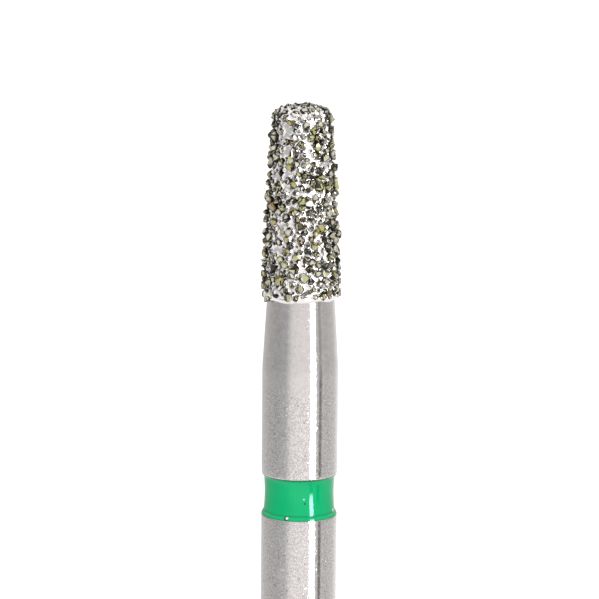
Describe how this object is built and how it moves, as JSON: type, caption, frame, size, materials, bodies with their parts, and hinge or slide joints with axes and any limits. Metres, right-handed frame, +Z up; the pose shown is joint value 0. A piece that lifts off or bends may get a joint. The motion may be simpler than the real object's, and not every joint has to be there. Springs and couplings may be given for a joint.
{
  "type": "dental bur",
  "caption": "Slim steel rotary cutter: plain cylindrical shank, green ring set in a groove, arched neck and a tapered, flat-tipped head coated in nickel and coarse diamond grit.",
  "frame": {"origin": "centre of the flat end of the shank", "axes": "+Z up the axis from the shank's end to the cutting tip; X and Y across it"},
  "size_m": [0.0017, 0.0017, 0.019],
  "materials": {
    "steel": "centreless-ground bare steel, fine rings round the axis",
    "green_enamel": "glossy fired or lacquered ring",
    "nickel": "bright plated nickel, rounded between the crystals",
    "grey_diamond": "clear to grey crystal with dark edges",
    "olive_diamond": "yellow-green crystal with bright facets"
  },
  "bodies": {
    "root": {"steel_blank": "steel", "colour_band": "green_enamel", "nickel_coat": "nickel", "grit_grey": "grey_diamond", "grit_olive": "olive_diamond"}
  },
  "joints": []
}
